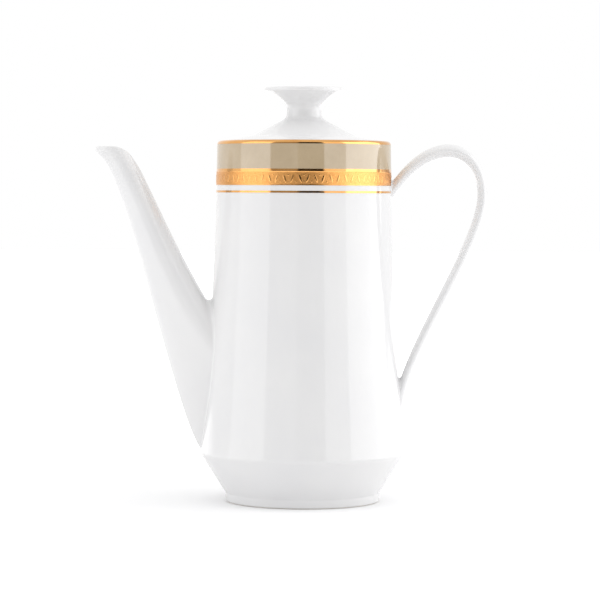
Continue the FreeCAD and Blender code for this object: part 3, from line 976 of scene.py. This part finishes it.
def ornament(run, height):
    """Height of the etched band's relief; the run is measured from the middle of a leaf pair."""
    pitch = FULL_TURN * neck_foot_radius / LEAF_PAIRS
    middle = between(RELIEF_Z, UPPER_LINE_Z, HALF)
    foot = middle - LEAF_LENGTH * HALF
    leaves = leaf(abs(run) - LEAF_SPREAD, height - foot)
    bead_run = pitch * HALF - abs(run)
    lower_bead = bump(math.hypot(bead_run, height - foot - BEAD_RADIUS), BEAD_RADIUS)
    upper_bead = bump(math.hypot(run, height - foot - LEAF_LENGTH + BEAD_RADIUS), BEAD_RADIUS)
    to_edge = min(height - RELIEF_Z, UPPER_LINE_Z - height)
    edge = bump(to_edge, EDGE_WIDTH)
    return max(leaves * LEAF_HEIGHT, max(lower_bead, upper_bead) * BEAD_HEIGHT, edge * EDGE_HEIGHT)


def band_stop_height(y):
    """Where the band's lower edge has to rise to clear the handle's root."""
    share = 1 - (y / BAND_STOP_HALF_WIDTH) ** 2
    if share <= 0:
        return RELIEF_Z
    return max(RELIEF_Z, BAND_STOP_Z + (BAND_STOP_TOP_Z - BAND_STOP_Z) * math.sqrt(share))


def make_relief(material):
    """The etched gold band, with its ornament as real relief."""
    count = LEAF_PAIRS * COLUMNS_PER_PAIR
    angles = turns(count)
    pitch = FULL_TURN / LEAF_PAIRS
    vertices = []
    reliefs = []
    for row in range(RELIEF_ROWS + 1):
        for angle in angles:
            beside_handle = math.cos(angle) > 0
            y = neck_foot_radius * math.sin(angle)
            low = band_stop_height(y) if beside_handle else RELIEF_Z
            height = between(low, UPPER_LINE_Z, row / RELIEF_ROWS)
            run = ((angle + pitch * HALF) % pitch - pitch * HALF) * neck_foot_radius
            relief = ornament(run, height)
            vertices.append(around(wall_at(height)[0] + BAND_OUTER + relief, angle, height))
            reliefs.append(relief / LEAF_HEIGHT)
    for row in (RELIEF_ROWS, 0):
        for column, angle in enumerate(angles):
            height = vertices[row * count + column].z
            vertices.append(around(wall_at(height)[0] + BAND_INNER, angle, height))
            reliefs.append(0.0)
    faces = grid_faces(len(vertices) // count, count, close_rows=True)
    made = piece("relief_gold_ring", vertices, faces, "pot", "gold_relief_band", material)
    attribute = made.data.attributes.new("relief", "FLOAT", "POINT")
    attribute.data.foreach_set("value", reliefs)


# Materials, with their lengths in metres

NOISE_LOW = 0.3
NOISE_HIGH = 0.7
PORCELAIN_DARK = (0.79, 0.788, 0.795)
PORCELAIN_LIGHT = (0.82, 0.817, 0.817)
PORCELAIN_SPECK = (0.76, 0.755, 0.745)
PORCELAIN_BARE = (0.72, 0.69, 0.64)
BARE_HEIGHT = 0.0007
BARE_ROUGHNESS = 0.55
GOLD_DARK = (0.70, 0.35, 0.115)
GOLD_LIGHT = (0.78, 0.42, 0.15)
ETCHED_DARK = (0.62, 0.29, 0.085)
ETCHED_LIGHT = (0.76, 0.38, 0.125)
ETCHED_RELIEF = (0.72, 0.37, 0.125)
ETCHED_ROUGHNESS = 0.36
RELIEF_ROUGHNESS = 0.08
BEIGE_DARK = (0.47, 0.36, 0.225)
BEIGE_LIGHT = (0.53, 0.415, 0.27)


def node_material(name):
    material = bpy.data.materials.new(name)
    material.use_nodes = True
    return material, material.node_tree, material.node_tree.nodes["Principled BSDF"]


def noise(tree, scale, detail, roughness=0.5):
    """Noise in the object's own space, with its scale in features per metre."""
    coordinates = tree.nodes.new("ShaderNodeTexCoord")
    texture = tree.nodes.new("ShaderNodeTexNoise")
    texture.inputs["Scale"].default_value = scale
    texture.inputs["Detail"].default_value = detail
    texture.inputs["Roughness"].default_value = roughness
    tree.links.new(coordinates.outputs["Object"], texture.inputs["Vector"])
    return texture.outputs["Fac"]


def ramp(tree, value, stops):
    """Colours along a value, between two stops of (position, colour)."""
    node = tree.nodes.new("ShaderNodeValToRGB")
    for element, (position, colour) in zip(node.color_ramp.elements, stops):
        element.position = position
        element.color = (*colour, 1)
    tree.links.new(value, node.inputs["Fac"])
    return node.outputs["Color"]


def spread(tree, value, low, high):
    """The usual range of a noise spread over another range."""
    node = tree.nodes.new("ShaderNodeMapRange")
    node.inputs["From Min"].default_value = NOISE_LOW
    node.inputs["From Max"].default_value = NOISE_HIGH
    node.inputs["To Min"].default_value = low
    node.inputs["To Max"].default_value = high
    tree.links.new(value, node.inputs["Value"])
    return node.outputs["Result"]


def blend_colours(tree, factor, first, second):
    """A mix of two colours, each a tuple or the output of a node."""
    node = tree.nodes.new("ShaderNodeMix")
    node.data_type = "RGBA"
    tree.links.new(factor, node.inputs["Factor"])
    for socket, colour in ((node.inputs["A"], first), (node.inputs["B"], second)):
        if isinstance(colour, tuple):
            socket.default_value = (*colour, 1)
        else:
            tree.links.new(colour, socket)
    return node.outputs["Result"]


def wavy(tree, shader, value, strength, distance):
    """A bump from a value, with its depth in metres."""
    node = tree.nodes.new("ShaderNodeBump")
    node.inputs["Strength"].default_value = strength
    node.inputs["Distance"].default_value = distance
    tree.links.new(value, node.inputs["Height"])
    tree.links.new(node.outputs["Normal"], shader.inputs["Normal"])


def foot_mask(tree):
    """1 on the unglazed underside of the foot ring, 0 elsewhere."""
    coordinates = tree.nodes.new("ShaderNodeTexCoord")
    split = tree.nodes.new("ShaderNodeSeparateXYZ")
    below = tree.nodes.new("ShaderNodeMapRange")
    below.inputs["From Min"].default_value = BARE_HEIGHT
    below.inputs["From Max"].default_value = BARE_HEIGHT * HALF
    tree.links.new(coordinates.outputs["Object"], split.inputs["Vector"])
    tree.links.new(split.outputs["Z"], below.inputs["Value"])
    return below.outputs["Result"]


def porcelain():
    """White glazed porcelain: soft cloudiness, a few faint specks and the slow waves of a fired glaze."""
    material, tree, shader = node_material("porcelain_glaze")
    clouds = noise(tree, scale=28, detail=3)
    cloudy = ramp(tree, clouds, [(NOISE_LOW, PORCELAIN_DARK), (NOISE_HIGH, PORCELAIN_LIGHT)])
    specks = ramp(tree, noise(tree, scale=900, detail=2), [(0.74, (0, 0, 0)), (0.80, (1, 1, 1))])
    glaze = blend_colours(tree, specks, cloudy, PORCELAIN_SPECK)
    bare = foot_mask(tree)
    colour = blend_colours(tree, bare, glaze, PORCELAIN_BARE)
    tree.links.new(colour, shader.inputs["Base Color"])
    gloss = spread(tree, noise(tree, scale=60, detail=2), low=0.05, high=0.08)
    rough = tree.nodes.new("ShaderNodeMath")
    rough.operation = "MULTIPLY_ADD"
    rough.inputs[1].default_value = BARE_ROUGHNESS
    tree.links.new(bare, rough.inputs[0])
    tree.links.new(gloss, rough.inputs[2])
    tree.links.new(rough.outputs["Value"], shader.inputs["Roughness"])
    shader.inputs["IOR"].default_value = 1.45
    wavy(tree, shader, noise(tree, scale=35, detail=1), strength=0.05, distance=0.0004)
    return material


def polished_gold():
    """Bright fired gold, a little thinner and duller in places."""
    material, tree, shader = node_material("polished_gold")
    wear = noise(tree, scale=120, detail=4)
    colour = ramp(tree, wear, [(NOISE_LOW, GOLD_DARK), (NOISE_HIGH, GOLD_LIGHT)])
    tree.links.new(colour, shader.inputs["Base Color"])
    gloss = spread(tree, noise(tree, scale=400, detail=3), low=0.06, high=0.16)
    tree.links.new(gloss, shader.inputs["Roughness"])
    shader.inputs["Metallic"].default_value = 1
    wavy(tree, shader, noise(tree, scale=700, detail=2), strength=0.06, distance=0.0001)
    return material


def etched_gold():
    """Gold over etched glaze: a satin, finely grained ground and polished relief."""
    material, tree, shader = node_material("satin_gold")
    attribute = tree.nodes.new("ShaderNodeAttribute")
    attribute.attribute_name = "relief"
    relief = attribute.outputs["Fac"]
    grain = ramp(tree, noise(tree, scale=1800, detail=3), [(0.35, ETCHED_DARK), (0.65, ETCHED_LIGHT)])
    colour = blend_colours(tree, relief, grain, ETCHED_RELIEF)
    tree.links.new(colour, shader.inputs["Base Color"])
    rough = tree.nodes.new("ShaderNodeMapRange")
    rough.inputs["To Min"].default_value = ETCHED_ROUGHNESS
    rough.inputs["To Max"].default_value = RELIEF_ROUGHNESS
    tree.links.new(relief, rough.inputs["Value"])
    tree.links.new(rough.outputs["Result"], shader.inputs["Roughness"])
    shader.inputs["Metallic"].default_value = 1
    wavy(tree, shader, noise(tree, scale=2500, detail=2), strength=0.12, distance=0.0001)
    return material


def beige_enamel():
    """Glossy beige enamel with the faint mottling of a brushed ground."""
    material, tree, shader = node_material("beige_glaze")
    mottling = noise(tree, scale=70, detail=4, roughness=0.6)
    colour = ramp(tree, mottling, [(NOISE_LOW, BEIGE_DARK), (NOISE_HIGH, BEIGE_LIGHT)])
    tree.links.new(colour, shader.inputs["Base Color"])
    gloss = spread(tree, noise(tree, scale=300, detail=2), low=0.05, high=0.09)
    tree.links.new(gloss, shader.inputs["Roughness"])
    shader.inputs["IOR"].default_value = 1.9
    wavy(tree, shader, noise(tree, scale=50, detail=1), strength=0.05, distance=0.0003)
    return material


# Studio, with the camera's values in millimetres and the rest in metres

WHITE = (1, 1, 1, 1)
BLACK = (0, 0, 0, 1)
CAMERA_TARGET = Vector((-1.8, 0, 112.6))
CAMERA_DISTANCE = 1456.0
CAMERA_PITCH = 2.4
CAMERA_ROLL = 0.3
CAMERA_LENS = 156.0
CAMERA_SENSOR = 36.0
FLOOR_SIZE = 12.0
FLOOR_COLOUR = (0.92, 0.92, 0.925, 1)
GLOW_START = 0.15
GLOW_END = 0.7
GLOW_NEAR = 0.08
FILL_STRENGTH = 0.72
CARD_DISTANCE = 1.9
CARD_HEIGHT = 2.0
CARD_STEPS = 12


def make_camera():
    data = bpy.data.cameras.new("camera")
    data.lens = CAMERA_LENS
    data.sensor_width = CAMERA_SENSOR
    camera = placed("camera", data)
    pitch = math.radians(CAMERA_PITCH)
    back = Vector((0, -math.cos(pitch), math.sin(pitch)))
    camera.location = (CAMERA_TARGET + back * CAMERA_DISTANCE) * METRES
    camera.rotation_euler = (-back).to_track_quat("-Z", "Y").to_euler()
    camera.rotation_euler.rotate_axis("Z", math.radians(CAMERA_ROLL))
    bpy.context.scene.camera = camera


def softbox(name, azimuth, distance, height, width, tall, power):
    """A soft area lamp, at an angle to the right of the camera and aimed at the pot."""
    data = bpy.data.lights.new(name, "AREA")
    data.shape = "RECTANGLE"
    data.size = width
    data.size_y = tall
    data.energy = power
    lamp = placed(name, data)
    angle = math.radians(azimuth)
    lamp.location = (distance * math.sin(angle), -distance * math.cos(angle), height)
    aim = CAMERA_TARGET * METRES - lamp.location
    lamp.rotation_euler = aim.to_track_quat("-Z", "Y").to_euler()
    lamp.visible_camera = False
    lamp.visible_glossy = False


def studio_card(name, first, last, brightness):
    """A curved glowing card between two angles from the camera, which only reflections show."""
    vertices = []
    for step in range(CARD_STEPS + 1):
        angle = math.radians(between(first, last, step / CARD_STEPS))
        foot = Vector((math.sin(angle), -math.cos(angle), 0)) * CARD_DISTANCE
        vertices += [foot, foot + UP * CARD_HEIGHT]
    faces = [(2 * step, 2 * step + 2, 2 * step + 3, 2 * step + 1) for step in range(CARD_STEPS)]
    mesh = bpy.data.meshes.new(name)
    mesh.from_pydata(vertices, [], faces)
    card = placed(name, mesh)
    material, _, shader = node_material(name)
    shader.inputs["Base Color"].default_value = BLACK
    shader.inputs["Specular IOR Level"].default_value = 0
    shader.inputs["Emission Color"].default_value = WHITE
    shader.inputs["Emission Strength"].default_value = brightness
    material.cycles.emission_sampling = "NONE"
    mesh.materials.append(material)
    card.visible_camera = False
    card.visible_diffuse = False
    card.visible_shadow = False


def seen_rays(tree):
    """1 for rays that show the background: from the camera, mirrored or through glass."""
    path = tree.nodes.new("ShaderNodeLightPath")
    total = path.outputs["Is Camera Ray"]
    for kind in ("Is Glossy Ray", "Is Transmission Ray"):
        either = tree.nodes.new("ShaderNodeMath")
        either.operation = "MAXIMUM"
        tree.links.new(total, either.inputs[0])
        tree.links.new(path.outputs[kind], either.inputs[1])
        total = either.outputs["Value"]
    return total


def make_floor():
    """A white floor that shows as white paper where no shadow falls on it."""
    half = FLOOR_SIZE * HALF
    mesh = bpy.data.meshes.new("floor")
    corners = [(-half, -half, 0), (half, -half, 0), (half, half, 0), (-half, half, 0)]
    mesh.from_pydata(corners, [], [(0, 1, 2, 3)])
    floor = placed("floor", mesh)
    material, tree, shader = node_material("floor_paper")
    material.cycles.emission_sampling = "NONE"
    shader.inputs["Base Color"].default_value = FLOOR_COLOUR
    shader.inputs["Roughness"].default_value = 0.9
    coordinates = tree.nodes.new("ShaderNodeTexCoord")
    length = tree.nodes.new("ShaderNodeVectorMath")
    length.operation = "LENGTH"
    tree.links.new(coordinates.outputs["Object"], length.inputs[0])
    fade = tree.nodes.new("ShaderNodeMapRange")
    fade.inputs["From Min"].default_value = GLOW_START
    fade.inputs["From Max"].default_value = GLOW_END
    fade.inputs["To Min"].default_value = GLOW_NEAR
    fade.inputs["To Max"].default_value = 1.0
    tree.links.new(length.outputs["Value"], fade.inputs["Value"])
    glow = tree.nodes.new("ShaderNodeMath")
    glow.operation = "MULTIPLY"
    tree.links.new(seen_rays(tree), glow.inputs[0])
    tree.links.new(fade.outputs["Result"], glow.inputs[1])
    shader.inputs["Emission Color"].default_value = WHITE
    tree.links.new(glow.outputs["Value"], shader.inputs["Emission Strength"])
    mesh.materials.append(material)


def make_world():
    """White to the eye and in reflections, a softer grey as fill light."""
    world = bpy.data.worlds.new("studio")
    world.use_nodes = True
    tree = world.node_tree
    background = tree.nodes["Background"]
    strength = tree.nodes.new("ShaderNodeMapRange")
    strength.inputs["To Min"].default_value = FILL_STRENGTH
    strength.inputs["To Max"].default_value = 1.0
    tree.links.new(seen_rays(tree), strength.inputs["Value"])
    background.inputs["Color"].default_value = WHITE
    tree.links.new(strength.outputs["Result"], background.inputs["Strength"])
    bpy.context.scene.world = world


def make_studio():
    make_camera()
    make_floor()
    make_world()
    softbox("softbox_left", azimuth=-67, distance=1.0, height=0.25, width=0.85, tall=0.6, power=2.15)
    softbox("softbox_right", azimuth=93, distance=1.0, height=0.25, width=1.5, tall=0.6, power=5.0)
    softbox("softbox_top", azimuth=0, distance=0, height=1.3, width=1.4, tall=1.4, power=6.0)
    studio_card("back_card", first=-176, last=-90, brightness=1.1)
    studio_card("left_card", first=-90, last=-44, brightness=1.9)
    studio_card("grey_card", first=-44, last=-8, brightness=0.47)
    studio_card("dark_card", first=-8, last=26, brightness=0.05)
    studio_card("pale_card", first=26, last=56, brightness=1.4)
    studio_card("right_card", first=56, last=120, brightness=2.9)
    bpy.context.scene.view_settings.view_transform = "Standard"


white = porcelain()
gold = polished_gold()

make_body(white)
make_spout(white)
make_handle(white)
make_lid(white)
make_knob(white)
make_lug(white)
make_rim_line(gold)
make_beige(beige_enamel())
make_upper_line(gold)
make_relief(etched_gold())
make_lower_line(gold)
make_studio()

bpy.context.view_layer.update()
